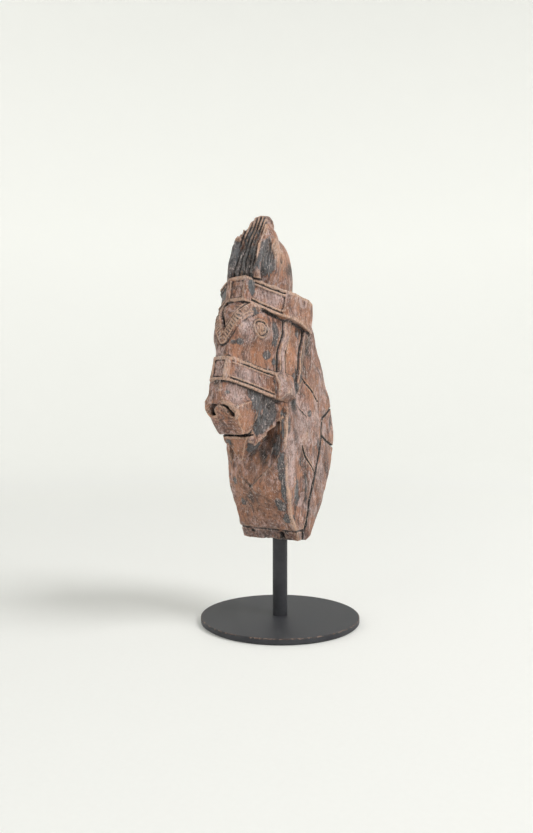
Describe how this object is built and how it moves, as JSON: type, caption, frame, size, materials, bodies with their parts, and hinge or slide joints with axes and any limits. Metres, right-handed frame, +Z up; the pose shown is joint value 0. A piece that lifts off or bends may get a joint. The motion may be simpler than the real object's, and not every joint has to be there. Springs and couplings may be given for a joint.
{
  "type": "carved horse head on stand",
  "caption": "Old carved wooden horse head and neck with bridle bands, which turns on a pin and lifts off a round post on a round steel base plate.",
  "frame": {"origin": "centre of the underside of the felt liner, on the axis of the post", "axes": "+Z up along the post, the horse looks along -Y, its left side is +X"},
  "size_m": [0.15, 0.17, 0.379],
  "materials": {
    "old_carved_wood": "worn, weathered, traces of dark paint",
    "peg_wood": "plain, whittled",
    "black_steel": "matt black paint, lightly worn",
    "bright_steel": "turned",
    "felt": "pressed felt"
  },
  "bodies": {
    "stand": {"base_felt": "felt", "base_plate": "black_steel", "base_screw": "bright_steel", "post_plug": "bright_steel", "post_tube": "black_steel"},
    "pin": {"spigot_pin": "bright_steel"},
    "head": {"head_block": "old_carved_wood", "rear_slab": "old_carved_wood", "rear_wedge": "old_carved_wood", "slab_dowel_1": "peg_wood", "slab_dowel_2": "peg_wood", "slab_dowel_3": "peg_wood", "wedge_dowel": "peg_wood"}
  },
  "joints": [
    {"name": "head_swivel", "type": "hinge", "parent": "stand", "child": "pin", "pos_m": [0, 0, 0.079], "axis": [0, 0, 1], "continuous": true},
    {"name": "head_lift", "type": "slide", "parent": "pin", "child": "head", "axis": [0, 0, 1], "range_m": [0, 0.06]}
  ]
}
